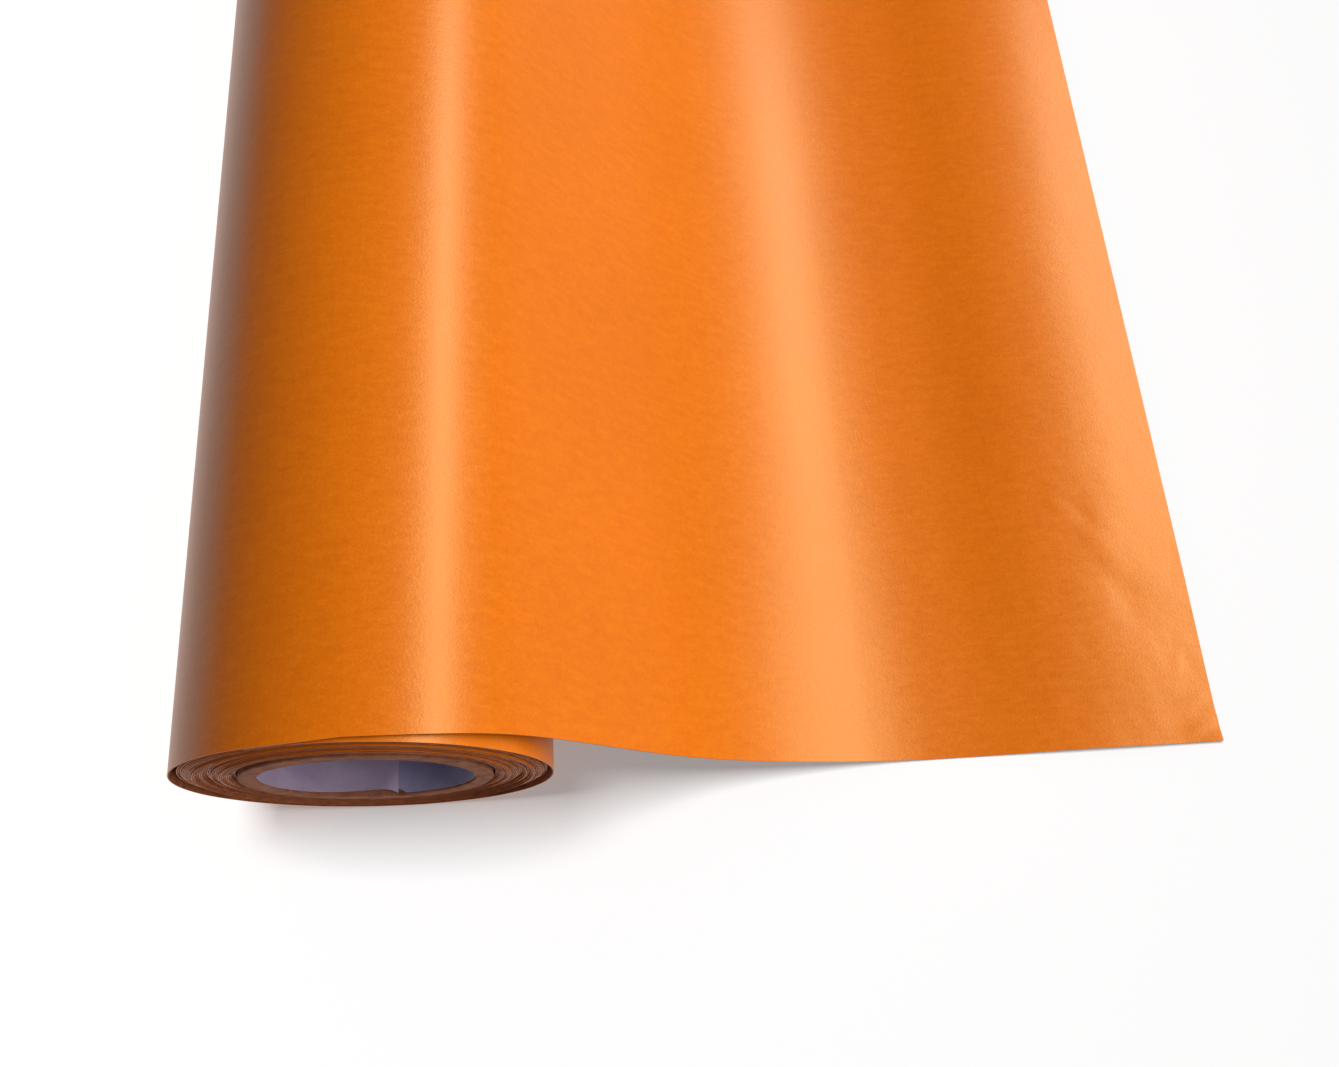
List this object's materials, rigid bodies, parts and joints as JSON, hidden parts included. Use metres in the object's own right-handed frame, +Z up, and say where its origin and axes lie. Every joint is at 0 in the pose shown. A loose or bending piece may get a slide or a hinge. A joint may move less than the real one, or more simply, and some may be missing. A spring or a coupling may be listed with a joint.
{
  "type": "copper foil tape roll",
  "caption": "Wide roll of self-adhesive copper foil wound on a paper core, with its free end leaving the top of the roll and laid out flat beside it.",
  "frame": {"origin": "on the core bore's axis, halfway along it", "axes": "+Y along the roll's axis, +X towards the free sheet's cut end, +Z up"},
  "size_m": [0.1363, 0.203, 0.0451],
  "materials": {
    "copper_foil": "satin, finely grained copper foil",
    "adhesive": "thin pressure-sensitive adhesive",
    "release_liner": "smooth release paper",
    "core_board": "spirally wound grey-brown board",
    "lining_paper": "smooth white lining paper",
    "tape_film": "double-sided tape"
  },
  "bodies": {
    "web": {"outer_turn_foil": "copper_foil", "outer_turn_adhesive": "adhesive", "outer_turn_liner": "release_liner"},
    "roll": {"core_tube": "core_board", "core_lining": "lining_paper", "start_tape": "tape_film", "wound_foil": "copper_foil", "wound_adhesive": "adhesive", "wound_liner": "release_liner"},
    "sheet": {"sheet_foil": "copper_foil", "sheet_adhesive": "adhesive", "sheet_liner": "release_liner"}
  },
  "joints": [
    {"name": "roll_turn", "type": "hinge", "parent": "web", "child": "roll", "pos_m": [0, 0, 0], "axis": [0, 1, 0], "continuous": true},
    {"name": "sheet_lift", "type": "hinge", "parent": "web", "child": "sheet", "pos_m": [0.00218, 0, 0.0226], "axis": [0, -1, 0], "range_deg": [0, 70]}
  ]
}
